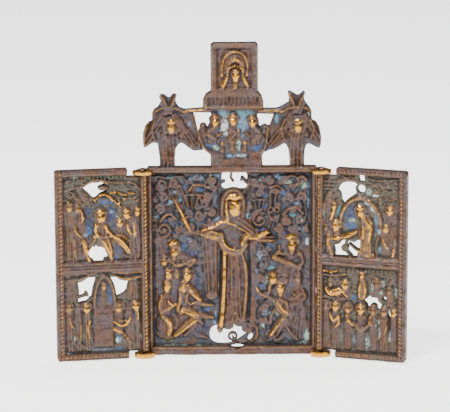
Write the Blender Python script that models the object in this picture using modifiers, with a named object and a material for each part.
"""Cast brass travelling triptych, standing open with both wings turned a little forward.

Three plates cast in low relief: a centre panel with its openwork crest and four hinge ears
in one casting, and two wings that turn on rods through the ears. Metres, +Z up, front to -Y.
Relief is drawn in millimetres on the plates at their drawn size, and its height is a share of
the recess, from 0 on the ground to 1 level with the rim.
"""
import math

import bmesh
import bpy
import numpy as np
from mathutils import Matrix

# Plates
PANEL_WIDTH = 0.080
PANEL_HEIGHT = 0.0934
CREST_HEIGHT = 0.0600
CREST_SPREAD = 1.14
CREST_GROUND = 0.3
PANEL_RECESS = 0.0030
PANEL_GROUND = 0.0015
WING_RISE = 0.0006
WING_THICKNESS = 0.0048
WING_RECESS = 0.0022
WING_FLOOR_GAP = 0.0004
CLOSED_GAP = 0.0002
FACE_GAP = 0.0003
CORNER_ROUND = 0.0008

# Rims of the plates
RIM_SIDE = 0.0016
RIM_TOP = 0.0026
RIM_BOTTOM = 0.0038
RIM_SLOPE = 0.0010
ROPE_WIDTH = 0.0019
ROPE_PITCH = 0.0020
ROPE_LOW = 0.55
WING_EDGE = 0.0014
WING_END_EDGE = 0.0006
WING_INNER_RIM = 0.0032
DIVIDER_WIDTH = 0.0044
DIVIDER_GROOVE = 0.25

# Hinges
HINGE_GAP = 0.00025
PIN_RADIUS = 0.0012
PIN_CLEARANCE = 0.0003
PIN_HEAD_RADIUS = 0.0019
PIN_HEAD_HEIGHT = 0.0009
PIN_FOOT_GAP = 0.0004
EAR_HALF_WIDTH = 0.0050
EAR_REACH = 0.0036
EAR_TOP_THICKNESS = 0.0019
EAR_BOTTOM_THICKNESS = 0.0027
EAR_BELOW_RIM = 0.0007
EAR_ROOT = 0.0012
EAR_ARM_OVERLAP = 0.0026
EAR_ARM_OUTER = 0.0010
EAR_TURN = math.radians(225.0)
NOTCH_CLEARANCE = 0.0009
NOTCH_SIDE = 0.0027
LEFT_ANGLE = math.radians(9.0)
RIGHT_ANGLE = math.radians(19.0)

# Sizes at which the relief was drawn, in millimetres
DRAWN_PANEL = (80.0, 93.4)
DRAWN_CREST = 60.0
DRAWN_WING = (42.45, 93.6)
DRAWN_DIVIDERS = (46.1, 48.3)
PANEL_CORNER = 0.0003
WING_CORNER = 0.0005
NOTCH_CORNER = 0.0004

# The crest's parts and its pierced places, corner by corner in drawn millimetres
LEFT_SERAPH = [
    (-34.6, 92.0), (-34.5, 97.0), (-35.1, 101.5), (-35.5, 104.6), (-38.0, 105.0), (-40.3, 103.2),
    (-42.0, 102.2), (-42.6, 105.5), (-42.5, 109.5), (-41.4, 113.0), (-39.8, 115.0), (-38.0, 115.8),
    (-38.0, 119.4), (-37.0, 121.2), (-35.2, 122.4), (-34.2, 124.2), (-33.6, 125.2), (-34.7, 127.4),
    (-33.6, 128.6), (-32.0, 128.3), (-30.4, 126.9), (-29.4, 126.9), (-28.3, 128.3), (-26.9, 128.8),
    (-26.1, 127.8), (-26.9, 126.0), (-26.2, 123.6), (-24.8, 122.0), (-21.0, 120.9), (-18.6, 120.0),
    (-17.5, 117.2), (-16.8, 113.6), (-16.1, 110.0), (-15.7, 107.0), (-14.6, 103.0), (-13.4, 101.2),
    (-18.4, 100.8), (-20.2, 102.0), (-22.2, 103.6), (-24.0, 104.9), (-25.6, 104.0), (-26.8, 102.0),
    (-27.2, 98.0), (-27.2, 92.0),
]
RIGHT_SERAPH = [
    (27.8, 92.0), (27.6, 97.0), (27.1, 101.4), (26.0, 103.6), (25.0, 104.2), (22.4, 102.6), (20.0, 101.3),
    (17.6, 101.0), (15.4, 99.6), (16.4, 102.4), (17.4, 106.0), (17.6, 109.6), (18.0, 113.0), (19.0, 115.6),
    (20.1, 118.9), (19.6, 121.4), (21.8, 121.6), (23.6, 122.4), (25.4, 123.4), (27.2, 124.4),
    (27.3, 126.4), (26.7, 129.3), (27.6, 129.9), (29.5, 128.8), (31.1, 127.7), (32.6, 128.1),
    (34.2, 129.8), (35.1, 129.1), (34.5, 127.2), (35.0, 124.8), (36.6, 122.6), (38.1, 120.2),
    (38.3, 115.9), (40.6, 114.5), (42.0, 112.0), (42.8, 107.5), (42.6, 103.2), (42.0, 101.8),
    (40.0, 102.5), (37.0, 104.0), (35.8, 103.6), (35.0, 101.2), (34.7, 97.0), (34.8, 92.0),
]
SHOULDERS = [
    (-13.8, 121.0), (-13.7, 125.8), (-12.4, 128.6), (-9.6, 130.4), (12.4, 130.2), (14.4, 127.6),
    (15.2, 124.6), (15.2, 121.0),
]
BOWL = [
    (-16.6, 112.0), (-15.9, 108.0), (-14.6, 103.4), (-12.6, 100.8), (-10.2, 98.8), (-10.2, 92.0),
    (14.9, 92.0), (14.5, 98.4), (15.6, 100.2), (17.2, 104.5), (17.8, 109.5), (18.6, 113.5), (20.0, 118.8),
    (20.0, 121.5), (-18.8, 121.5), (-17.8, 117.5),
]
BOWL_FLOOR = [
    (-9.8, 121.0), (-15.0, 108.5), (-13.9, 104.4), (-12.0, 101.8), (-8.0, 100.0), (-4.0, 98.8),
    (-4.0, 96.6), (8.0, 96.8), (8.4, 99.0), (12.0, 99.6), (14.8, 101.4), (16.4, 105.0), (17.0, 109.6),
    (17.6, 112.0), (12.9, 114.0), (12.9, 121.0),
]
CREST_HOLES = (
    [(-18.2, 119.7), (-10.0, 119.6), (-9.7, 118.2), (-11.0, 116.6), (-10.6, 114.4), (-11.8, 112.4),
     (-12.2, 114.0), (-13.6, 114.6), (-15.2, 113.8), (-15.6, 111.6), (-16.1, 110.4), (-16.8, 113.6),
     (-17.4, 117.0)],
    [(12.4, 118.9), (20.1, 118.8), (19.0, 115.6), (18.0, 113.0), (17.0, 113.2), (15.6, 113.9),
     (14.2, 113.0), (13.3, 112.6), (13.0, 115.6), (12.2, 117.4)],
)
LEFT_WING_HOLES = (
    [(29.0, 84.5), (27.5, 86.0), (25.0, 87.0), (21.5, 87.2), (20.0, 87.6), (18.4, 86.2), (20.6, 85.6),
     (21.9, 84.6), (21.0, 83.4), (17.4, 83.1), (19.4, 82.3), (21.1, 81.5), (22.5, 80.0), (23.8, 79.6),
     (24.6, 80.4), (26.5, 82.5)],
    [(24.3, 56.3), (23.4, 55.2), (23.1, 56.7), (22.0, 55.6), (21.0, 55.8), (19.0, 55.0), (18.2, 53.0),
     (17.3, 51.2), (17.6, 50.2), (19.2, 50.0), (19.5, 48.5), (23.8, 48.4), (24.3, 49.5), (25.6, 50.2),
     (26.8, 52.6), (26.5, 54.0)],
    [(32.0, 38.2), (30.0, 38.6), (28.0, 40.0), (26.5, 40.8), (23.2, 40.6), (23.8, 38.5), (24.9, 35.0),
     (25.3, 31.4), (26.4, 30.6), (27.8, 29.0), (29.6, 28.8), (31.8, 28.3), (31.9, 30.2), (31.0, 30.6),
     (28.8, 31.2), (26.8, 31.6), (27.2, 33.4), (28.3, 34.2), (29.0, 32.6), (31.4, 31.6), (31.4, 35.0)],
    [(16.2, 40.5), (13.5, 40.4), (11.5, 38.8), (9.0, 38.2), (7.0, 38.4), (8.0, 36.5), (8.4, 34.0),
     (9.6, 32.4), (12.8, 30.9), (13.4, 31.4), (13.7, 34.0), (14.6, 37.5)],
)
RIGHT_WING_HOLES = (
    [(8.2, 82.5), (9.0, 84.5), (10.5, 86.2), (12.5, 86.8), (16.5, 86.9), (17.9, 85.8), (17.1, 83.8),
     (17.5, 81.8), (16.0, 80.6), (13.2, 78.6), (11.2, 76.3), (10.2, 77.5), (9.8, 80.5), (9.2, 81.8)],
    [(18.7, 91.0), (21.2, 90.6), (21.5, 88.2), (20.6, 87.4), (19.0, 87.5), (18.5, 89.2)],
    [(6.4, 55.5), (9.0, 56.0), (10.0, 57.8), (12.5, 58.6), (15.0, 57.6), (16.5, 57.4), (18.0, 58.4),
     (19.7, 59.0), (19.5, 54.0), (18.4, 52.4), (18.0, 50.4), (6.8, 50.4), (7.0, 52.0)],
    [(21.4, 29.2), (23.4, 30.4), (24.4, 31.9), (25.4, 30.8), (28.4, 30.8), (28.8, 29.0), (30.4, 27.6),
     (29.6, 25.4), (28.4, 25.0), (27.8, 27.4), (26.0, 28.2), (25.0, 27.6), (24.4, 26.0), (23.4, 26.0),
     (23.0, 27.5), (21.6, 28.6)],
)

# Mesh density
PANEL_CELL = 0.00075
WING_CELL = 0.00080
PANEL_FACES = 4600
WING_FACES = 2000
ROUND_STEPS = 16

# Worked out from the sizes above
KNUCKLE = WING_THICKNESS / 2
PANEL_DEPTH = PANEL_RECESS + PANEL_GROUND
AXIS_X = PANEL_WIDTH / 2 + KNUCKLE + HINGE_GAP
WING_WIDTH = AXIS_X - CLOSED_GAP
RIM_BEHIND_AXIS = KNUCKLE + FACE_GAP
NOTCH_WIDTH = EAR_HALF_WIDTH + NOTCH_SIDE
WING_TOP = PANEL_HEIGHT + WING_RISE
WING_HEIGHT = WING_TOP - WING_FLOOR_GAP
EAR_TOP = PANEL_HEIGHT - EAR_BELOW_RIM
NOTCH_TOP = WING_TOP - (EAR_TOP - EAR_TOP_THICKNESS - NOTCH_CLEARANCE)
NOTCH_BOTTOM = EAR_BOTTOM_THICKNESS + NOTCH_CLEARANCE - WING_FLOOR_GAP
PIN_HOLE = PIN_RADIUS + PIN_CLEARANCE


def reach(angle):
    """Give how far a wing at this angle goes sideways and forward of its axis."""
    side = WING_WIDTH * math.cos(angle) + KNUCKLE * math.sin(angle)
    front = WING_WIDTH * math.sin(angle) + KNUCKLE * math.cos(angle)
    return side, front


def placing():
    """Give the panel's middle and the hinge axes' depth that centre the part on the origin."""
    left_side, left_front = reach(LEFT_ANGLE)
    right_side, right_front = reach(RIGHT_ANGLE)
    middle = (left_side - right_side) / 2
    back = RIM_BEHIND_AXIS + PANEL_DEPTH
    depth = (max(left_front, right_front) - back) / 2
    return middle, depth


PANEL_X, AXIS_Y = placing()
RIM_Y = AXIS_Y + RIM_BEHIND_AXIS
BACK_Y = RIM_Y + PANEL_DEPTH


# Outlines: each gives a distance in millimetres that is positive inside the shape

def box_inside(u, v, low, high, rounding=0.0):
    """A rectangle between two corners, with rounded corners."""
    du = np.abs(u - (low[0] + high[0]) / 2) - (high[0] - low[0]) / 2 + rounding
    dv = np.abs(v - (low[1] + high[1]) / 2) - (high[1] - low[1]) / 2 + rounding
    outer = np.hypot(np.maximum(du, 0), np.maximum(dv, 0))
    return rounding - outer - np.minimum(np.maximum(du, dv), 0)


def oval_inside(u, v, centre, radii, turn=0.0, power=2.0):
    """An ellipse or a squarer oval, turned by an angle in degrees."""
    c, s = math.cos(math.radians(turn)), math.sin(math.radians(turn))
    du, dv = u - centre[0], v - centre[1]
    a = np.abs(du * c + dv * s) / radii[0]
    b = np.abs(dv * c - du * s) / radii[1]
    return (1 - (a ** power + b ** power) ** (1 / power)) * min(radii)


def path_nearest(u, v, points, widths):
    """Give, for each place, the share across and the half width of the nearest stretch of a path."""
    best = np.full(u.shape, np.inf)
    across = np.full(u.shape, np.inf)
    half = np.ones(u.shape)
    for (p, q), (w0, w1) in zip(zip(points, points[1:]), zip(widths, widths[1:])):
        du, dv = q[0] - p[0], q[1] - p[1]
        long2 = du * du + dv * dv
        t = np.clip(((u - p[0]) * du + (v - p[1]) * dv) / long2, 0, 1)
        away = np.hypot(u - p[0] - t * du, v - p[1] - t * dv)
        side = np.sign((v - p[1]) * du - (u - p[0]) * dv)
        width = w0 + (w1 - w0) * t
        share = away / width
        nearer = share < best
        best = np.where(nearer, share, best)
        across = np.where(nearer, share * side, across)
        half = np.where(nearer, width, half)
    return across, half


def path_inside(u, v, points, widths):
    """A band along a path of points, with a half width at each."""
    across, half = path_nearest(u, v, points, widths)
    return (1 - np.abs(across)) * half


def polygon_inside(u, v, corners):
    """A shape with straight sides between its corners."""
    nearest = np.full(u.shape, np.inf)
    inside = np.zeros(u.shape, dtype=bool)
    for (a, b), (c, d) in zip(corners, corners[1:] + corners[:1]):
        t = np.clip(((u - a) * (c - a) + (v - b) * (d - b)) / ((c - a) ** 2 + (d - b) ** 2), 0, 1)
        nearest = np.minimum(nearest, np.hypot(u - a - t * (c - a), v - b - t * (d - b)))
        if b != d:
            inside ^= ((b > v) != (d > v)) & (u < (c - a) * (v - b) / (d - b) + a)
    return np.where(inside, nearest, -nearest)


def join(*shapes):
    """The union of outlines."""
    return np.maximum.reduce(shapes)


def cut(shape, *holes):
    """An outline with holes taken out."""
    return np.minimum.reduce([shape] + [-hole for hole in holes])


# Relief: a height map that forms are laid on, highest first

class Relief:
    """Heights over places u, v in drawn millimetres, as shares of the recess."""

    def __init__(self, u, v):
        self.u, self.v = u, v
        self.height = np.zeros(u.shape)

    def lay(self, shape):
        """Keep the higher of what is there and a new form."""
        self.height = np.maximum(self.height, shape)

    def dome(self, centre, radii, top, turn=0.0, low=0.0):
        """A rounded boss."""
        inside = oval_inside(self.u, self.v, centre, radii, turn) / min(radii)
        crown = np.sqrt(np.clip(1 - (1 - inside) ** 2, 0, 1))
        self.lay(np.where(inside > 0, low + (top - low) * crown, 0))

    def disc(self, centre, radius, top, lip=0.0, lip_width=0.5):
        """A flat disc such as a halo, with a raised lip."""
        away = np.hypot(self.u - centre[0], self.v - centre[1])
        ridge = lip * np.clip(1 - np.abs(away - radius + lip_width) / lip_width, 0, 1)
        self.lay(np.where(away < radius, top + ridge, 0))

    def ring(self, centre, radius, width, top):
        """A round ridge."""
        away = np.abs(np.hypot(self.u - centre[0], self.v - centre[1]) - radius) / width
        self.lay(top * np.sqrt(np.clip(1 - away ** 2, 0, 1)))

    def drape(self, points, widths, top, folds=0.0, fold_depth=0.12, low=0.0):
        """A limb, robe or ridge along a path, with folds that run along it."""
        across, _ = path_nearest(self.u, self.v, points, widths)
        crown = np.sqrt(np.clip(1 - across ** 2, 0, 1))
        body = low + (top - low) * crown
        if folds:
            body = body + fold_depth * np.cos(folds * math.pi * across) * crown
        self.lay(np.where(np.abs(across) < 1, body, 0))

    def slab(self, inside, top, slope=0.6):
        """A flat-topped form with sloping sides, from an outline."""
        self.lay(top * np.clip(inside / slope, 0, 1))

    def sink(self, inside, floor, slope=0.5):
        """Lower what lies inside an outline to a floor."""
        share = np.clip(inside / slope, 0, 1)
        self.height = self.height + (np.minimum(self.height, floor) - self.height) * share


def spiral(centre, radius, turns, start, hand=1):
    """Points along a curl that winds in to its centre; start is in degrees."""
    steps = int(10 * turns) + 1
    points = []
    for step in range(steps + 1):
        share = step / steps
        angle = math.radians(start) + hand * share * turns * 2 * math.pi
        reach_now = radius * (1 - 0.78 * share)
        points.append((centre[0] + reach_now * math.cos(angle), centre[1] + reach_now * math.sin(angle)))
    return points


def curl(relief, centre, radius, turns, start, hand=1, top=0.42, thick=0.75):
    """A leaf curl of the ground's scrollwork, with a bud at its heart."""
    points = spiral(centre, radius, turns, start, hand)
    widths = np.linspace(thick, thick * 0.7, len(points))
    relief.drape(points, list(widths), top)
    relief.dome(centre, (radius * 0.3, radius * 0.3), top)


def head(relief, place, size, top, low=0.3):
    """A small head: a rounded skull and a face that narrows to the chin or beard."""
    u, v = place
    relief.dome((u, v + 0.25 * size), (0.92 * size, 0.85 * size), top, low=low)
    relief.dome((u, v - 0.45 * size), (0.66 * size, 1.0 * size), top - 0.04, low=low)


def person(relief, place, size, path, widths, top, folds=3.0, halo=0.0):
    """A small figure: halo, head, and a robe along a path below the head."""
    if halo:
        relief.disc(place, halo, 0.30, 0.14, 0.35)
    relief.drape(path, widths, top - 0.18, folds)
    head(relief, place, size, top)


def strokes(relief, start, end, count, tall, top=0.34):
    """A row of shallow upright strokes in the place of an inscription."""
    for number in range(count):
        share = (number + 0.5) / count
        u = start[0] + (end[0] - start[0]) * share
        v = start[1] + (end[1] - start[1]) * share
        lean = 0.12 * tall * ((number % 3) - 1)
        relief.drape([(u - lean, v - tall / 2), (u + lean, v + tall / 2)], [0.28, 0.28], top)


# Centre panel

def panel_scrolls(relief):
    """Leaf curls on the upper ground, to left and right of the standing figure."""
    curls = (
        (-32.6, 85.6, 2.9, 1.4, 200, 1), (-25.6, 86.4, 2.7, 1.3, -30, -1), (-18.8, 84.6, 2.6, 1.3, 170, 1),
        (-12.0, 86.0, 2.7, 1.3, 0, -1), (-33.4, 78.4, 2.6, 1.2, 120, -1), (-26.5, 80.2, 2.2, 1.1, 200, 1),
        (-11.4, 78.2, 2.4, 1.2, 60, 1), (-33.0, 70.8, 3.2, 1.5, 150, -1), (-25.6, 71.4, 2.3, 1.1, 250, 1),
        (-15.2, 69.8, 2.7, 1.3, 20, -1), (-9.4, 71.4, 2.2, 1.2, 200, 1), (-32.2, 62.4, 3.3, 1.5, 210, 1),
        (-25.6, 64.6, 2.2, 1.1, 30, -1), (-20.0, 73.2, 1.9, 1.1, 300, 1),
        (12.2, 86.2, 2.7, 1.3, 180, -1), (18.8, 85.4, 2.6, 1.3, 10, 1), (26.4, 86.0, 3.1, 1.5, 220, -1),
        (33.0, 85.0, 2.5, 1.2, 0, 1), (20.6, 78.4, 2.3, 1.2, 70, 1), (27.0, 79.4, 2.5, 1.2, 150, -1),
        (33.0, 77.2, 2.6, 1.3, 300, 1), (11.6, 69.4, 3.2, 1.5, 60, 1), (19.4, 70.4, 2.2, 1.2, 200, -1),
        (26.2, 71.6, 3.0, 1.4, 100, 1), (33.2, 69.2, 2.4, 1.2, 0, -1), (21.6, 62.8, 2.4, 1.2, 210, 1),
        (28.4, 63.2, 2.2, 1.1, 30, -1), (15.4, 50.2, 1.9, 1.1, 160, 1), (15.2, 43.6, 1.8, 1.1, 20, -1),
        (-32.6, 22.0, 1.5, 1.0, 20, 1), (15.8, 24.0, 2.2, 1.2, 200, 1), (14.2, 17.0, 2.0, 1.2, 30, -1),
    )
    for u, v, radius, turns, start, hand in curls:
        curl(relief, (u, v), radius, turns, start, hand)
    stems = (
        ((-29.0, 88.5), (-29.4, 80.0), (-29.2, 66.0)), ((-22.0, 88.0), (-22.6, 81.0), (-16.0, 80.5)),
        ((-15.4, 88.0), (-14.6, 81.0), (-7.4, 74.0)),
        ((22.6, 88.0), (23.8, 78.0), (23.2, 66.0), (18.4, 57.5)),
        ((15.4, 88.0), (15.8, 80.0), (17.0, 66.0)), ((30.0, 88.0), (30.0, 79.0), (29.6, 66.0)),
        ((13.4, 56.0), (17.8, 47.0), (13.0, 38.0)), ((18.0, 28.0), (12.6, 21.0), (16.0, 12.0)),
    )
    for points in stems:
        relief.drape(points, [0.5] * len(points), 0.34)
    for middle in (-18.3, 13.9):
        strokes(relief, (middle - 3.0, 76.2), (middle + 3.0, 76.2), 4, 4.4, 0.46)
        relief.drape([(middle - 3.4, 78.9), (middle + 3.4, 78.9)], [0.4, 0.4], 0.46)


def standing_figure(relief):
    """The tall veiled figure with a cloth over both arms, and the pointed staff at one side."""
    relief.disc((0.6, 75.8), 5.7, 0.36, 0.22, 0.6)
    relief.drape([(-28.9, 79.3), (-24.6, 70.8), (-22.2, 66.0)], [0.35, 1.0, 1.5], 0.62)
    relief.drape([(-22.4, 66.4), (-20.2, 61.0)], [1.1, 0.8], 0.55)
    relief.drape([(-24.2, 66.6), (-20.6, 67.6)], [0.5, 0.5], 0.6)
    relief.drape([(9.0, 57.0), (9.6, 36.0), (9.0, 17.0)], [2.2, 1.9, 1.7], 0.48, 3.0, 0.08)
    relief.drape([(1.2, 64.0), (1.6, 44.0), (1.8, 15.6)], [5.6, 4.6, 5.6], 0.66, 5.0, 0.10, 0.2)
    relief.drape([(0.6, 68.5), (-6.5, 64.6), (-14.4, 60.8)], [4.6, 3.4, 1.7], 0.80, 2.0, 0.06)
    relief.drape([(0.6, 68.0), (7.4, 63.4), (13.4, 58.0)], [4.2, 3.2, 1.5], 0.76, 2.0, 0.06)
    relief.drape([(-13.6, 59.4), (-10.0, 58.2), (-5.4, 61.6)], [1.6, 3.0, 2.2], 0.72, 3.0, 0.08)
    relief.drape([(-11.6, 57.6), (-11.0, 44.0), (-9.9, 29.4)], [3.3, 2.6, 1.6], 0.70, 5.0, 0.12, 0.1)
    relief.drape([(-6.2, 60.4), (-4.4, 54.6), (0.9, 51.2), (5.6, 53.4), (8.8, 59.6)],
                 [1.3, 1.4, 1.5, 1.4, 1.3], 0.94)
    relief.dome((9.2, 57.6), (1.5, 2.6), 0.94, -25)
    relief.drape([(11.6, 58.6), (16.0, 59.4), (18.6, 61.2)], [0.7, 1.1, 0.7], 0.76)
    relief.drape([(12.4, 57.6), (17.4, 57.4), (20.8, 56.6)], [0.7, 1.0, 0.6], 0.66)
    relief.drape([(-3.7, 51.0), (-4.5, 33.0), (-5.6, 14.6)], [1.0, 1.2, 1.3], 0.92, 0, 0, 0.35)
    relief.dome((-6.1, 12.4), (1.5, 1.9), 0.55)
    relief.drape([(1.4, 17.2), (2.8, 20.2), (4.4, 17.0)], [0.4, 0.45, 0.4], 0.84)
    relief.dome((0.7, 74.2), (3.9, 5.4), 0.86, low=0.45)
    relief.drape([(-2.6, 71.2), (-1.8, 67.4), (0.7, 65.6), (3.2, 67.4), (4.0, 71.2)],
                 [1.0, 1.1, 1.2, 1.1, 1.0], 0.80)
    relief.dome((0.7, 73.4), (2.5, 3.7), 1.0, low=0.6)


def left_group(relief):
    """Six heads and kneeling bodies at the standing figure's right hand."""
    relief.drape([(-27.6, 48.0), (-30.6, 40.0), (-31.6, 28.0)], [4.6, 4.4, 3.2], 0.46, 3.0, 0.08)
    relief.drape([(-24.0, 50.0), (-20.4, 47.0), (-17.0, 46.0)], [1.6, 2.0, 0.7], 0.5)
    relief.drape([(-26.6, 46.2), (-22.8, 43.8), (-20.6, 47.8)], [1.0, 0.9, 0.8], 0.66)
    relief.drape([(-28.0, 36.0), (-31.6, 27.0), (-30.6, 16.0), (-28.6, 10.0)],
                 [2.4, 3.0, 3.0, 2.2], 0.56, 3.0, 0.1)
    relief.drape([(-30.6, 20.0), (-27.8, 15.0), (-28.0, 9.6)], [1.2, 1.5, 0.9], 0.74)
    relief.drape([(-22.4, 32.0), (-24.0, 25.0), (-20.2, 19.6)], [2.4, 2.4, 2.6], 0.62, 3.0, 0.1)
    relief.drape([(-20.0, 20.4), (-23.4, 14.6), (-25.4, 9.8)], [2.8, 1.9, 1.0], 0.78)
    relief.drape([(-19.6, 29.6), (-17.2, 25.4)], [1.9, 1.6], 0.70)
    relief.drape([(-19.8, 27.0), (-15.0, 22.4), (-10.0, 18.8)], [1.5, 1.2, 0.7], 0.56)
    relief.drape([(-20.0, 14.0), (-14.0, 18.0), (-11.0, 18.6)], [1.6, 1.1, 0.6], 0.42)
    relief.drape([(-20.6, 12.0), (-15.6, 9.6)], [2.4, 1.2], 0.36)
    heads = (((-27.4, 52.6), 2.5, 0.78), ((-32.4, 46.0), 2.1, 0.66), ((-30.4, 40.0), 2.1, 0.74),
             ((-26.0, 39.8), 1.9, 0.70), ((-20.8, 39.6), 2.3, 0.84), ((-31.0, 32.6), 1.9, 0.80),
             ((-22.4, 33.6), 2.2, 0.86))
    for place, size, top in heads:
        head(relief, place, size, top)


def right_group(relief):
    """Five heads at the other side, one with arms crossed, and two kneeling bodies."""
    relief.drape([(29.6, 50.4), (27.6, 44.0), (27.0, 36.0)], [4.4, 4.4, 3.4], 0.48, 3.0, 0.08)
    relief.drape([(20.8, 46.4), (24.0, 44.8), (32.6, 44.0)], [1.0, 1.2, 1.1], 0.70)
    relief.drape([(22.2, 49.4), (21.4, 46.4), (26.6, 45.6)], [0.6, 0.8, 0.9], 0.62)
    relief.drape([(32.2, 50.6), (35.0, 47.0), (33.2, 43.6)], [1.3, 1.6, 1.2], 0.60)
    relief.drape([(24.4, 32.0), (26.2, 24.6), (23.2, 18.4), (20.6, 9.8)],
                 [2.2, 2.6, 2.2, 1.3], 0.70, 3.0, 0.1)
    relief.drape([(26.6, 24.6), (25.0, 18.6), (21.4, 12.0)], [1.9, 1.5, 0.9], 0.82)
    relief.drape([(22.8, 30.8), (23.0, 26.6), (26.6, 22.4)], [1.2, 1.4, 1.3], 0.66)
    relief.drape([(33.4, 34.2), (32.6, 26.0), (30.6, 17.2)], [2.9, 3.4, 3.6], 0.62, 3.0, 0.1)
    relief.drape([(31.4, 17.8), (31.8, 11.0), (26.4, 8.0)], [3.2, 3.0, 2.0], 0.58, 2.0, 0.1)
    relief.drape([(31.6, 31.4), (34.4, 28.0), (31.6, 25.6)], [0.9, 1.1, 0.8], 0.76)
    relief.drape([(20.4, 34.6), (17.0, 31.4), (13.4, 27.2)], [1.4, 1.3, 1.1], 0.48)
    relief.drape([(11.6, 32.8), (13.2, 29.0), (16.4, 27.6)], [0.6, 0.8, 0.9], 0.62)
    relief.drape([(20.0, 22.0), (19.4, 16.0), (18.4, 12.0)], [1.2, 1.4, 1.0], 0.44)
    heads = (((29.2, 54.2), 2.6, 0.80), ((20.6, 37.8), 2.2, 0.84), ((25.8, 37.6), 1.8, 0.68),
             ((24.0, 34.2), 2.2, 0.90), ((33.0, 37.8), 2.0, 0.70))
    for place, size, top in heads:
        head(relief, place, size, top)


def crest_relief(relief):
    """The plaque, band, table scene and the two winged heads above the panel."""
    u, v = relief.u, relief.v
    relief.slab(box_inside(u, v, (-10.3, 128.4), (12.6, 153.4), 1.8), 0.82, 0.5)
    relief.sink(box_inside(u, v, (-8.4, 130.2), (10.8, 151.6), 1.4), 0.42, 0.7)
    relief.ring((1.7, 142.4), 6.0, 0.8, 0.74)
    relief.dome((1.8, 142.4), (3.7, 3.8), 0.78, low=0.42)
    relief.dome((1.9, 136.6), (2.1, 4.4), 0.96, low=0.5)
    relief.dome((-3.2, 134.8), (1.7, 3.0), 0.76, -20, 0.42)
    relief.dome((7.0, 134.8), (1.7, 3.0), 0.76, 20, 0.42)
    relief.slab(polygon_inside(u, v, SHOULDERS), 0.78, 0.5)
    relief.sink(box_inside(u, v, (-11.6, 122.7), (13.2, 127.3), 0.4), 0.62, 0.4)
    strokes(relief, (-11.0, 125.0), (12.6, 125.0), 13, 3.0, 0.70)
    relief.slab(polygon_inside(u, v, BOWL), 0.66, 0.4)
    relief.sink(polygon_inside(u, v, BOWL_FLOOR), 0.26, 0.6)
    relief.slab(crest_bars(u, v), 0.70, 0.5)
    for (a, b), lean in (((-7.9, 115.8), -1.0), ((0.8, 116.4), 0.4), ((10.0, 115.0), 1.2)):
        path = [(a, b - 2.4), (a + lean, b - 6.0), (a + 0.4 * lean, b - 9.6)]
        person(relief, (a, b), 1.9, path, [1.6, 2.9, 2.0], 0.86, 3.0)
    for a, b in ((-13.8, 112.0), (15.6, 111.0)):
        person(relief, (a, b), 1.3, [(a, b - 1.4), (a, b - 5.0)], [1.2, 1.6], 0.62, 2.0)
    for foot in ((-4.5, 101.4), (0.4, 101.8), (6.0, 101.0)):
        relief.drape([foot, (foot[0], foot[1] + 3.0)], [1.5, 1.0], 0.62)
        relief.dome((foot[0], foot[1] + 3.6), (1.5, 0.7), 0.70)
    for side in (-1, 1):
        seraph_relief(relief, side)


def crest_bars(u, v):
    """Outline of the thin bars from the band out to the winged heads."""
    return join(path_inside(u, v, [(-22.0, 120.3), (-16.5, 120.8), (-12.0, 121.0)], [1.0, 0.9, 1.0]),
                path_inside(u, v, [(23.0, 120.4), (20.0, 120.2), (13.0, 120.4)], [1.1, 1.2, 1.1]))


def seraph_place(side, u, v):
    """Turn a place beside the left winged head's middle into one on the crest."""
    return (0.5 + side * (31.0 - u), v)


def seraph_relief(relief, side):
    """One winged head: two wings up, two to the sides, two folded down over the stem."""
    def place(a, b):
        return seraph_place(side, a, b)
    outline = LEFT_SERAPH if side < 0 else RIGHT_SERAPH
    relief.slab(polygon_inside(relief.u, relief.v, outline), 0.50, 0.8)
    relief.drape([place(-4.5, 114.0), place(-9.2, 110.0), place(-11.2, 103.6)],
                 [3.6, 3.0, 0.9], 0.66, 4.0, 0.07, 0.4)
    relief.drape([place(4.5, 114.0), place(9.4, 109.0), place(12.0, 102.8)],
                 [3.6, 3.8, 1.1], 0.66, 4.0, 0.07, 0.4)
    relief.drape([place(-0.4, 118.0), place(-3.0, 127.0)], [2.8, 0.9], 0.70, 3.0, 0.07, 0.4)
    relief.drape([place(1.2, 118.0), place(4.0, 127.2)], [2.8, 0.9], 0.66, 3.0, 0.07, 0.4)
    relief.drape([place(-1.6, 108.0), place(0.2, 95.0)], [2.2, 2.6], 0.62, 3.0, 0.06, 0.4)
    relief.drape([place(2.4, 108.0), place(0.8, 95.0)], [2.0, 2.6], 0.60, 3.0, 0.06, 0.4)
    middle = (0.5 + side * 30.6 + 1.6, 112.4)
    relief.disc((middle[0], middle[1] + 1.6), 4.4, 0.56, 0.14, 0.5)
    head(relief, middle, 2.6, 0.94, 0.55)


def crest_outline(u, v):
    """Outline of the whole openwork crest, down into the panel's top rim."""
    solid = join(
        box_inside(u, v, (-10.0, 127.0), (12.6, 153.4), 1.8),
        polygon_inside(u, v, SHOULDERS), polygon_inside(u, v, BOWL),
        polygon_inside(u, v, LEFT_SERAPH), polygon_inside(u, v, RIGHT_SERAPH),
    )
    holes = [polygon_inside(u, v, corners) for corners in CREST_HOLES]
    return join(cut(solid, *holes), crest_bars(u, v))


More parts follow.
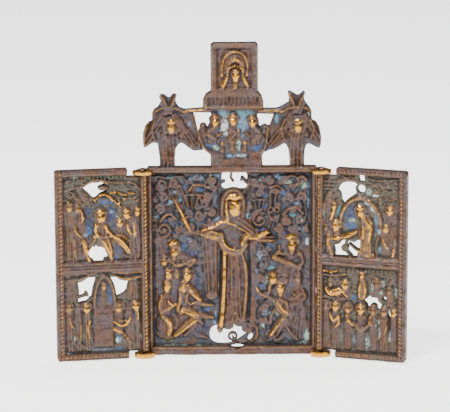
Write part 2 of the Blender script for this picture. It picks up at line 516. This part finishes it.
def panel_holes(u, v):
    """Where the centre panel's casting is pierced or worn through, above and below the figure."""
    upper = cut(box_inside(u, v, (-4.9, 82.2), (7.3, 90.2), 1.6),
                oval_inside(u, v, (0.7, 76.4), (6.4, 6.4)),
                oval_inside(u, v, (-4.4, 85.6), (1.5, 0.9), 30),
                path_inside(u, v, [(6.9, 85.4), (5.0, 87.6), (4.4, 86.2)], [1.0, 0.8, 0.6]),
                path_inside(u, v, [(0.0, 90.6), (-0.6, 87.6), (0.5, 85.8)], [0.5, 0.6, 0.7]))
    ring_place = (0.1, 8.6)
    away = np.hypot(u - ring_place[0], v - ring_place[1])
    ring = 0.55 - np.abs(away - 1.9)
    lower = cut(join(oval_inside(u, v, (-4.6, 9.8), (6.4, 4.7), 0, 2.6),
                     oval_inside(u, v, (1.6, 10.6), (5.6, 4.4))),
                oval_inside(u, v, (-6.0, 12.9), (1.6, 2.4)), oval_inside(u, v, (-2.4, 14.2), (3.0, 2.0)),
                oval_inside(u, v, (6.8, 12.8), (2.4, 2.4)), oval_inside(u, v, (3.4, 15.4), (2.6, 1.8)),
                path_inside(u, v, [(3.6, 4.4), (8.0, 8.2)], [2.9, 2.2]), ring,
                path_inside(u, v, [(0.1, 8.6), (1.0, 6.4), (1.4, 4.6)], [0.45, 0.5, 0.6]))
    small = oval_inside(u, v, (8.7, 8.3), (1.0, 1.8), -28)
    slot = oval_inside(u, v, (2.4, 3.9), (3.2, 0.75))
    return join(upper, lower, small, slot)


def rope_wave(along, across):
    """Twisted rope along an edge: slanted lobes, as a share from 0 to 1."""
    phase = (along + 0.6 * across) / ROPE_PITCH
    lobe = np.abs(np.cos(math.pi * phase))
    return np.clip(1 - (2 * across / ROPE_WIDTH) ** 2, 0, 1) ** 0.5 * (0.45 + 0.55 * lobe)


def edge_fall(x, z, low, high):
    """How much a cast edge is rounded away, as a share of the rim's height."""
    away = np.minimum(np.minimum(x - low[0], high[0] - x), np.minimum(z - low[1], high[1] - z))
    return 0.25 * np.clip(1 - away / CORNER_ROUND, 0, 1) ** 2


def panel_front(x, z):
    """Height of the centre casting's front, as a share of the recess."""
    u = x / PANEL_WIDTH * DRAWN_PANEL[0]
    v = np.where(z < PANEL_HEIGHT, z / PANEL_HEIGHT * DRAWN_PANEL[1],
                 DRAWN_PANEL[1] + (z - PANEL_HEIGHT) / CREST_HEIGHT * DRAWN_CREST)
    relief = Relief(u, v)
    panel_scrolls(relief)
    left_group(relief)
    right_group(relief)
    standing_figure(relief)
    relief.dome((7.2, 12.2), (2.2, 2.2), 0.44)
    relief.drape([(0.4, 7.0), (5.0, 6.4), (9.4, 12.0)], [0.6, 1.4, 0.6], 0.34)
    side = (PANEL_WIDTH / 2 - RIM_SIDE - np.abs(x)) / RIM_SLOPE
    level = np.minimum((z - RIM_BOTTOM) / RIM_SLOPE, (PANEL_HEIGHT - RIM_TOP - z) / RIM_SLOPE)
    rim = 1 - np.clip(np.minimum(side, level), 0, 1)
    body = np.maximum(np.minimum(relief.height, 1.0), rim)
    body = body - edge_fall(x, z, (-PANEL_WIDTH / 2, 0), (PANEL_WIDTH / 2, PANEL_HEIGHT))
    crest = Relief(u, v)
    crest_relief(crest)
    top = np.clip(crest.height, CREST_GROUND, 1.0)
    return np.where(z > PANEL_HEIGHT, top, body)


def panel_outline(x, z):
    """Outline of the centre casting in metres, positive inside."""
    u = x / PANEL_WIDTH * DRAWN_PANEL[0]
    v = np.where(z < PANEL_HEIGHT, z / PANEL_HEIGHT * DRAWN_PANEL[1],
                 DRAWN_PANEL[1] + (z - PANEL_HEIGHT) / CREST_HEIGHT * DRAWN_CREST)
    drawn_unit = PANEL_WIDTH / DRAWN_PANEL[0]
    plate = box_inside(x, z, (-PANEL_WIDTH / 2, 0), (PANEL_WIDTH / 2, PANEL_HEIGHT), PANEL_CORNER)
    return cut(join(plate, crest_outline(u, v) * drawn_unit), panel_holes(u, v) * drawn_unit)


# Wings: u runs outwards from the hinge axis

def left_wing_relief(relief):
    """Two scenes: a seated figure among others above, a draped arch and an altar block below."""
    u, v = relief.u, relief.v
    for number in range(5):
        relief.ring((20.4, 70.6), 12.5 + 1.5 * number, 0.5, 0.42)
    relief.sink(np.maximum(80.0 - v, v - 88.0), 0.0, 1.0)
    strokes(relief, (36.0, 89.4), (4.0, 88.8), 15, 1.8, 0.5)
    for number in range(6):
        angle = math.radians(200 + 14 * number)
        end = (27.0 - 9.5 * math.cos(angle), 84.0 + 8.0 * math.sin(angle))
        relief.drape([(27.0, 84.0), end], [0.4, 0.6], 0.44)
    relief.drape([(20.4, 66.6), (20.2, 58.0), (19.8, 52.0)], [3.2, 3.6, 3.4], 0.60, 3.0, 0.1)
    relief.drape([(27.0, 59.0), (26.6, 53.0), (26.4, 49.2)], [2.4, 2.2, 1.6], 0.76)
    relief.drape([(13.6, 62.0), (13.2, 54.0), (13.0, 49.2)], [2.2, 2.6, 1.8], 0.62, 2.0, 0.1)
    relief.drape([(8.6, 60.6), (8.0, 54.6), (7.4, 50.0)], [1.8, 2.2, 1.6], 0.80)
    relief.drape([(34.0, 71.6), (33.6, 60.0), (33.0, 49.6)], [3.2, 3.4, 3.0], 0.56, 4.0, 0.1)
    relief.drape([(30.0, 67.0), (29.0, 61.0), (25.4, 59.2)], [1.8, 1.9, 1.3], 0.66)
    relief.drape([(3.6, 68.0), (3.6, 58.0), (3.4, 49.8)], [2.0, 2.4, 2.0], 0.54, 3.0, 0.1)
    relief.drape([(24.6, 63.4), (20.4, 61.0), (15.6, 64.6)], [1.0, 1.2, 0.9], 0.78)
    relief.disc((20.4, 71.0), 3.4, 0.32, 0.16, 0.4)
    relief.disc((11.2, 67.4), 2.9, 0.28, 0.14, 0.4)
    for place, size, top in (((35.8, 75.4), 1.7, 0.72), ((31.6, 75.6), 1.6, 0.70), ((29.8, 70.6), 1.7, 0.80),
                             ((20.4, 71.0), 1.9, 0.86), ((11.2, 67.2), 1.8, 0.84), ((7.4, 71.2), 1.6, 0.74),
                             ((2.6, 71.6), 1.6, 0.74)):
        head(relief, place, size, top)
    lower = (((36.2, 27.2), 1.8, 0.80), ((32.4, 24.0), 1.5, 0.66), ((27.6, 26.2), 1.8, 0.84),
             ((11.8, 26.0), 1.8, 0.84), ((8.0, 23.6), 1.5, 0.66), ((4.0, 26.2), 1.8, 0.80))
    for (a, b), size, top in lower:
        person(relief, (a, b), size, [(a, b - 2.4), (a + 0.4, b - 12.0), (a, 4.6)], [1.6, 2.2, 1.9], top, 3.0)
    relief.slab(box_inside(u, v, (16.4, 5.6), (23.6, 24.8)), 0.62, 0.5)
    for level in (10.6, 15.4, 20.2):
        relief.drape([(16.8, level), (23.2, level)], [0.35, 0.35], 0.74)
    relief.slab(np.minimum(oval_inside(u, v, (18.6, 26.0), (5.6, 17.4)), v - 25.2), 0.44, 0.5)
    relief.sink(np.minimum(oval_inside(u, v, (18.6, 26.0), (4.4, 15.6)), v - 26.4), 0.16, 0.5)
    person(relief, (18.6, 36.4), 1.5, [(18.6, 34.6), (18.6, 27.2)], [1.5, 2.2], 0.72, 3.0)
    for start, side in ((36.6, 1), (1.8, -1)):
        for number in range(4):
            a = start - side * 2.2 * number
            relief.drape([(a, 43.0), (a - side * 1.4, 38.0), (a - side * 0.4, 33.0)], [0.8, 0.9, 0.6], 0.46)
    relief.drape([(37.0, 42.0), (28.0, 43.0), (18.6, 42.4), (9.0, 43.0), (2.0, 42.0)], [0.8] * 5, 0.5)


def right_wing_relief(relief):
    """Two scenes: a standing figure under an arch between others above, two rows of figures below."""
    u, v = relief.u, relief.v
    relief.slab(np.minimum(oval_inside(u, v, (19.8, 66.0), (11.2, 15.0)), v - 64.0), 0.52, 0.5)
    relief.sink(np.minimum(oval_inside(u, v, (19.8, 66.0), (9.8, 13.4)), v - 63.0), 0.06, 0.6)
    for side in (-1, 1):
        relief.drape([(19.8 + side * 10.6, 65.0), (19.8 + side * 10.4, 58.0)], [0.9, 0.9], 0.5)
    relief.disc((20.2, 73.2), 3.1, 0.26, 0.16, 0.4)
    relief.drape([(20.2, 70.0), (21.2, 62.0), (22.6, 53.6)], [2.0, 2.8, 3.2], 0.66, 3.0, 0.1)
    relief.drape([(18.8, 68.0), (15.4, 65.4), (12.2, 63.6)], [0.9, 0.8, 0.6], 0.7)
    relief.drape([(7.6, 63.0), (6.0, 58.0), (3.6, 52.6)], [1.6, 2.4, 2.2], 0.62, 3.0, 0.1)
    relief.drape([(8.4, 61.8), (11.4, 62.6), (14.0, 63.6)], [0.8, 0.8, 0.5], 0.7)
    relief.drape([(34.0, 71.6), (34.4, 62.0), (34.0, 52.6)], [2.2, 3.0, 2.8], 0.58, 4.0, 0.1)
    relief.drape([(30.0, 62.0), (29.2, 56.8), (28.6, 52.6)], [1.8, 2.0, 1.7], 0.66, 2.0, 0.1)
    relief.drape([(4.6, 76.0), (3.4, 70.0), (3.0, 66.0)], [2.2, 2.4, 2.0], 0.46, 3.0, 0.08)
    for number in range(4):
        relief.drape([(28.4 + 2.8 * number, 90.0 - 0.4 * number), (26.8 + 3.4 * number, 82.0 - 1.0 * number)],
                     [0.6, 0.8], 0.42)
        relief.drape([(2.0 + 2.0 * number, 90.4), (1.6 + 1.6 * number, 84.6)], [0.6, 0.7], 0.42)
    for place, size, top in (((20.2, 73.0), 1.9, 0.84), ((7.6, 65.2), 1.8, 0.82), ((4.4, 79.2), 1.7, 0.72),
                             ((5.8, 74.2), 1.6, 0.70), ((33.9, 74.8), 1.8, 0.80), ((32.4, 65.4), 1.7, 0.80),
                             ((37.0, 69.4), 1.6, 0.70), ((28.4, 70.6), 1.4, 0.62)):
        head(relief, place, size, top)
    strokes(relief, (37.0, 44.0), (2.6, 43.4), 16, 1.8, 0.5)
    upper = (((5.6, 37.6), 1.7, 29.4), ((12.4, 36.2), 1.7, 29.0), ((20.7, 40.0), 1.6, 29.6),
             ((28.3, 37.8), 1.8, 31.4), ((34.8, 34.4), 1.7, 28.6))
    for (a, b), size, foot in upper:
        person(relief, (a, b), size, [(a, b - 2.4), (a, foot)], [1.8, 2.7], 0.66, 3.0)
    lower = ((2.9, 25.6), (7.8, 25.2), (13.8, 25.2), (20.2, 25.0), (26.2, 24.6), (31.8, 24.8), (36.6, 24.6))
    for number, (a, b) in enumerate(lower):
        wide = 2.5 + 0.3 * (number % 2)
        path = [(a, b - 2.6), (a + 0.3, b - 11.0), (a, 6.4)]
        person(relief, (a, b), 1.8, path, [1.8, wide, wide - 0.5], 0.84, 3.0)


def left_wing_holes(u, v):
    """Pierced places of the left wing."""
    return join(*[polygon_inside(u, v, corners) for corners in LEFT_WING_HOLES])


def right_wing_holes(u, v):
    """Pierced places of the right wing, with the small ring that stands in the upper one."""
    away = np.hypot(u - 19.9, v - 83.8)
    upper, small, middle, lower = [polygon_inside(u, v, corners) for corners in RIGHT_WING_HOLES]
    return join(
        cut(upper, 2.95 - away), 1.95 - away, small,
        cut(middle, oval_inside(u, v, (11.8, 54.3), (1.9, 1.9)),
            path_inside(u, v, [(14.0, 56.6), (17.0, 54.2)], [0.5, 0.6]),
            path_inside(u, v, [(12.6, 52.8), (14.6, 51.0), (15.4, 49.8)], [0.7, 0.6, 0.7]),
            path_inside(u, v, [(13.0, 59.0), (12.2, 56.0)], [0.8, 0.6]),
            path_inside(u, v, [(17.0, 54.2), (19.0, 53.4)], [0.6, 0.7])),
        lower,
        oval_inside(u, v, (31.9, 30.7), (0.9, 0.9)),
        oval_inside(u, v, (34.3, 23.4), (0.6, 2.3), 4),
    )


def wing_front(x, z, draw_relief, divider):
    """Height of a wing's front, as a share of its recess; x runs outwards from the axis."""
    relief = Relief(x / WING_WIDTH * DRAWN_WING[0], z / WING_HEIGHT * DRAWN_WING[1])
    draw_relief(relief)
    outer = WING_WIDTH - WING_EDGE - ROPE_WIDTH
    lower = WING_END_EDGE + ROPE_WIDTH
    upper = WING_HEIGHT - lower
    inner = WING_INNER_RIM - KNUCKLE
    away = np.minimum(np.minimum(x - inner, outer - x), np.minimum(z - lower, upper - z))
    away = np.minimum(away, np.abs(z - divider) - DIVIDER_WIDTH / 2)
    rim = 1 - np.clip(away / RIM_SLOPE, 0, 1)
    body = np.maximum(np.minimum(relief.height, 0.95), rim)
    groove = np.clip(1 - np.abs(np.abs(z - divider) - DIVIDER_WIDTH / 4) / (DIVIDER_WIDTH / 8), 0, 1)
    body = np.where((x > inner) & (x < outer), body - DIVIDER_GROOVE * groove, body)
    for along, across in ((z, x - outer - ROPE_WIDTH / 2), (x, z - lower + ROPE_WIDTH / 2),
                          (x, z - upper - ROPE_WIDTH / 2), (z, x + KNUCKLE * 0.6)):
        within = np.abs(across) < ROPE_WIDTH / 2
        wave = ROPE_LOW + (1 - ROPE_LOW) * rope_wave(along, across)
        body = np.where(within, wave, body)
    body = body - edge_fall(x, z, (-WING_WIDTH, 0), (WING_WIDTH, WING_HEIGHT))
    return body


def wing_outline(x, z, holes):
    """Outline of a wing in metres, positive inside, with the notches for the hinge ears."""
    u, v = x / WING_WIDTH * DRAWN_WING[0], z / WING_HEIGHT * DRAWN_WING[1]
    drawn_unit = WING_WIDTH / DRAWN_WING[0]
    plate = box_inside(x, z, (-KNUCKLE, 0), (WING_WIDTH, WING_HEIGHT), WING_CORNER)
    upper = box_inside(x, z, (-WING_WIDTH, WING_HEIGHT - NOTCH_TOP), (NOTCH_WIDTH, 2 * WING_HEIGHT),
                       NOTCH_CORNER)
    lower = box_inside(x, z, (-WING_WIDTH, -WING_HEIGHT), (NOTCH_WIDTH, NOTCH_BOTTOM), NOTCH_CORNER)
    return cut(plate, upper, lower, holes(u, v) * drawn_unit)


# Building the castings

def snap(outline, x, z, cell):
    """Move grid points that lie near the outline onto it; give the places and what was moved."""
    step = cell * 0.02
    near = np.abs(outline(x, z)) < cell * 0.5
    for _ in range(3):
        value = outline(x, z)
        gx = (outline(x + step, z) - outline(x - step, z)) / (2 * step)
        gz = (outline(x, z + step) - outline(x, z - step)) / (2 * step)
        size = np.maximum(gx * gx + gz * gz, 0.2)
        x = np.where(near, x - value * gx / size, x)
        z = np.where(near, z - value * gz / size, z)
    return x, z, near


def plate_mesh(name, low, high, cell, outline, front, back):
    """Make a closed cast plate: a grid cut to an outline, with a modelled front and back."""
    columns = round((high[0] - low[0]) / cell)
    rows = round((high[1] - low[1]) / cell)
    bm = bmesh.new()
    bmesh.ops.create_grid(bm, x_segments=columns, y_segments=rows, size=0.5)
    bm.verts.ensure_lookup_table()
    flat = np.array([v.co[:2] for v in bm.verts])
    x = low[0] + (flat[:, 0] + 0.5) * (high[0] - low[0])
    z = low[1] + (flat[:, 1] + 0.5) * (high[1] - low[1])
    x, z, moved = snap(outline, x, z, cell)
    value = np.where(moved, 0.0, outline(x, z))
    for vert, place_x, place_z in zip(bm.verts, x, z):
        vert.co = (place_x, 0, place_z)
    for face in list(bm.faces):
        a, b, c, d = face.verts
        if abs(value[a.index]) + abs(value[c.index]) <= abs(value[b.index]) + abs(value[d.index]):
            bmesh.utils.face_split(face, a, c)
        else:
            bmesh.utils.face_split(face, b, d)
    centres = np.array([face.calc_center_median() for face in bm.faces])
    middle = outline(centres[:, 0], centres[:, 2])
    sums = np.array([sum(value[v.index] for v in face.verts) for face in bm.faces])
    outside = np.where(sums == 0, middle < 0, sums < 0)
    gone = [face for face, out in zip(bm.faces, outside) if out]
    bmesh.ops.delete(bm, geom=gone, context="FACES")
    trim_touching(bm)
    front_faces = bm.faces[:]
    grown = bmesh.ops.extrude_face_region(bm, geom=front_faces, use_keep_orig=True)["geom"]
    rear = [item for item in grown if isinstance(item, bmesh.types.BMVert)]
    fore = [v for v in bm.verts if v not in set(rear)]
    for verts, side in ((fore, front), (rear, back)):
        places = np.array([v.co[:] for v in verts])
        for vert, depth in zip(verts, side(places[:, 0], places[:, 2])):
            vert.co.y = depth
    bmesh.ops.recalc_face_normals(bm, faces=bm.faces)
    mesh = bpy.data.meshes.new(name)
    bm.to_mesh(mesh)
    bm.free()
    return mesh


def trim_touching(bm):
    """Take away faces where the sheet touches itself at a single corner, and lone scraps."""
    while True:
        pinched = [v for v in bm.verts if sum(edge.is_boundary for edge in v.link_edges) > 2]
        if not pinched:
            break
        faces = {face for v in pinched for face in v.link_faces}
        bmesh.ops.delete(bm, geom=list(faces), context="FACES")
    unseen = set(bm.faces)
    islands = []
    while unseen:
        stack = [unseen.pop()]
        island = []
        while stack:
            face = stack.pop()
            island.append(face)
            for edge in face.edges:
                for other in edge.link_faces:
                    if other in unseen:
                        unseen.discard(other)
                        stack.append(other)
        islands.append(island)
    islands.sort(key=len)
    scraps = [face for island in islands[:-1] for face in island]
    if scraps:
        bmesh.ops.delete(bm, geom=scraps, context="FACES")


def brass(name, colour, roughness):
    """A metallic material for one piece."""
    material = bpy.data.materials.new(name)
    material.use_nodes = True
    shader = material.node_tree.nodes["Principled BSDF"]
    shader.inputs["Base Color"].default_value = (*colour, 1)
    shader.inputs["Metallic"].default_value = 1.0
    shader.inputs["Roughness"].default_value = roughness
    return material


def add_object(name, mesh, collection, material=None):
    """Put a mesh in the scene as one named object."""
    piece = bpy.data.objects.new(name, mesh)
    collection.objects.link(piece)
    if material:
        mesh.materials.append(material)
    return piece


def thin_out(piece, faces):
    """Let Decimate bring a casting down to a number of triangles."""
    modifier = piece.modifiers.new("Thin out", "DECIMATE")
    modifier.ratio = min(1.0, faces / len(piece.data.polygons))


def boolean(piece, other, operation):
    """Add or take away another object."""
    modifier = piece.modifiers.new(operation.title(), "BOOLEAN")
    modifier.operation = operation
    modifier.solver = "EXACT"
    modifier.object = other


def ear(name, side, low, high, collection):
    """A hinge ear: a rounded plate round the axis with an arm back into the panel's edge."""
    curve = bpy.data.curves.new(name, "CURVE")
    curve.dimensions = "2D"
    curve.fill_mode = "BOTH"
    curve.extrude = (high - low) / 2
    arm_x = AXIS_X - PANEL_WIDTH / 2 + EAR_ROOT
    arm_y = RIM_BEHIND_AXIS + EAR_ARM_OVERLAP
    outline = []
    for step in range(ROUND_STEPS + 1):
        angle = math.pi + EAR_TURN * step / ROUND_STEPS
        outline.append((EAR_HALF_WIDTH * math.cos(angle), EAR_REACH * math.sin(angle)))
    outline.append((EAR_ARM_OUTER, arm_y))
    outline.append((-arm_x, arm_y))
    hole = [(PIN_HOLE * math.cos(2 * math.pi * step / ROUND_STEPS),
             PIN_HOLE * math.sin(2 * math.pi * step / ROUND_STEPS)) for step in range(ROUND_STEPS)]
    for points in (outline, hole):
        spline = curve.splines.new("POLY")
        spline.points.add(len(points) - 1)
        for point, (px, py) in zip(spline.points, points):
            point.co = (side * px, py, 0, 1)
        spline.use_cyclic_u = True
    flat = bpy.data.objects.new(name, curve)
    collection.objects.link(flat)
    flat.location = (PANEL_X + side * AXIS_X, AXIS_Y, (low + high) / 2)
    bpy.context.view_layer.update()
    mesh = bpy.data.meshes.new_from_object(flat.evaluated_get(bpy.context.evaluated_depsgraph_get()))
    bm = bmesh.new()
    bm.from_mesh(mesh)
    bmesh.ops.remove_doubles(bm, verts=bm.verts, dist=1e-6)
    bmesh.ops.recalc_face_normals(bm, faces=bm.faces)
    bm.to_mesh(mesh)
    bm.free()
    piece = bpy.data.objects.new(name + "_solid", mesh)
    piece.matrix_world = flat.matrix_world
    bpy.data.objects.remove(flat)
    collection.objects.link(piece)
    piece.hide_render = True
    piece.display_type = "WIRE"
    return piece


def centre_panel(parts, cutters):
    """The centre casting with its crest and hinge ears."""
    def front(x, z):
        return RIM_Y + (1 - panel_front(x, z)) * PANEL_RECESS

    def back(x, z):
        return np.full(x.shape, BACK_Y)
    width = PANEL_WIDTH / 2 * CREST_SPREAD
    top = PANEL_HEIGHT + CREST_HEIGHT + PANEL_CELL
    mesh = plate_mesh("centre_panel", (-width, -PANEL_CELL), (width, top),
                      PANEL_CELL, panel_outline, front, back)
    mesh.transform(Matrix.Translation((PANEL_X, 0, 0)))
    piece = add_object("centre_panel", mesh, parts, brass("patinated brass", (0.20, 0.13, 0.09), 0.5))
    thin_out(piece, PANEL_FACES)
    levels = ((0, EAR_BOTTOM_THICKNESS, "lower"), (EAR_TOP - EAR_TOP_THICKNESS, EAR_TOP, "upper"))
    for side, hand in ((-1, "left"), (1, "right")):
        for low, high, level in levels:
            boolean(piece, ear(f"{hand}_{level}_ear", side, low, high, cutters), "UNION")
    return piece


def wing(name, side, angle, draw_relief, holes, drawn_divider, parts, cutters):
    """One wing, turned on its hinge axis, with the bore for its rod."""
    divider = drawn_divider / DRAWN_WING[1] * WING_HEIGHT

    def front(x, z):
        plate = (1 - wing_front(side * x, z, draw_relief, divider)) * WING_RECESS - KNUCKLE
        return np.where(side * x < 0, np.maximum(plate, knuckle(x)), plate)

    def back(x, z):
        return -knuckle(x)

    def knuckle(x):
        inside = np.clip(-side * x, 0, KNUCKLE * 0.985)
        return -np.sqrt(KNUCKLE ** 2 - inside ** 2)

    def outline(x, z):
        return wing_outline(side * x, z, holes)
    edges = sorted((side * -(KNUCKLE + WING_CELL), side * (WING_WIDTH + WING_CELL)))
    mesh = plate_mesh(name, (edges[0], -WING_CELL), (edges[1], WING_HEIGHT + WING_CELL),
                      WING_CELL, outline, front, back)
    piece = add_object(name, mesh, parts, brass("patinated brass wing", (0.22, 0.14, 0.10), 0.5))
    piece.location = (PANEL_X + side * AXIS_X, AXIS_Y, WING_FLOOR_GAP)
    piece.rotation_euler.z = -side * angle
    thin_out(piece, WING_FACES)
    bpy.ops.mesh.primitive_cylinder_add(vertices=ROUND_STEPS, radius=PIN_HOLE, depth=WING_HEIGHT * 1.2)
    bore = bpy.context.object
    bore.name = name + "_bore"
    bore.location = (PANEL_X + side * AXIS_X, AXIS_Y, WING_HEIGHT / 2)
    for collection in list(bore.users_collection):
        collection.objects.unlink(bore)
    cutters.objects.link(bore)
    bore.hide_render = True
    bore.display_type = "WIRE"
    boolean(piece, bore, "DIFFERENCE")
    return piece


def hinge_pin(name, side, parts, material):
    """A rod through both ears and the wing, with a domed head on top."""
    top = EAR_TOP + PIN_CLEARANCE
    profile = [(0.0, top + PIN_HEAD_HEIGHT), (PIN_HEAD_RADIUS * 0.55, top + PIN_HEAD_HEIGHT * 0.85),
               (PIN_HEAD_RADIUS * 0.9, top + PIN_HEAD_HEIGHT * 0.45), (PIN_HEAD_RADIUS, top),
               (PIN_RADIUS, top), (PIN_RADIUS, PIN_FOOT_GAP), (0.0, PIN_FOOT_GAP)]
    mesh = bpy.data.meshes.new(name)
    mesh.from_pydata([(r, 0, z) for r, z in profile], [(i, i + 1) for i in range(len(profile) - 1)], [])
    piece = add_object(name, mesh, parts, material)
    screw = piece.modifiers.new("Turn", "SCREW")
    screw.steps = ROUND_STEPS
    screw.render_steps = ROUND_STEPS
    screw.use_merge_vertices = True
    screw.merge_threshold = 1e-6
    piece.location = (PANEL_X + side * AXIS_X, AXIS_Y, 0)
    return piece


def build():
    """Clear the scene and make every piece."""
    for item in list(bpy.data.objects):
        bpy.data.objects.remove(item)
    parts = bpy.data.collections.new("Triptych altarpiece")
    cutters = bpy.data.collections.new("Cutters")
    for collection in (parts, cutters):
        bpy.context.scene.collection.children.link(collection)
    centre_panel(parts, cutters)
    wing("left_wing", -1, LEFT_ANGLE, left_wing_relief, left_wing_holes, DRAWN_DIVIDERS[0], parts, cutters)
    wing("right_wing", 1, RIGHT_ANGLE, right_wing_relief, right_wing_holes, DRAWN_DIVIDERS[1], parts, cutters)
    rod = brass("worn brass rod", (0.55, 0.38, 0.16), 0.35)
    hinge_pin("left_hinge_pin", -1, parts, rod)
    hinge_pin("right_hinge_pin", 1, parts, rod)


build()
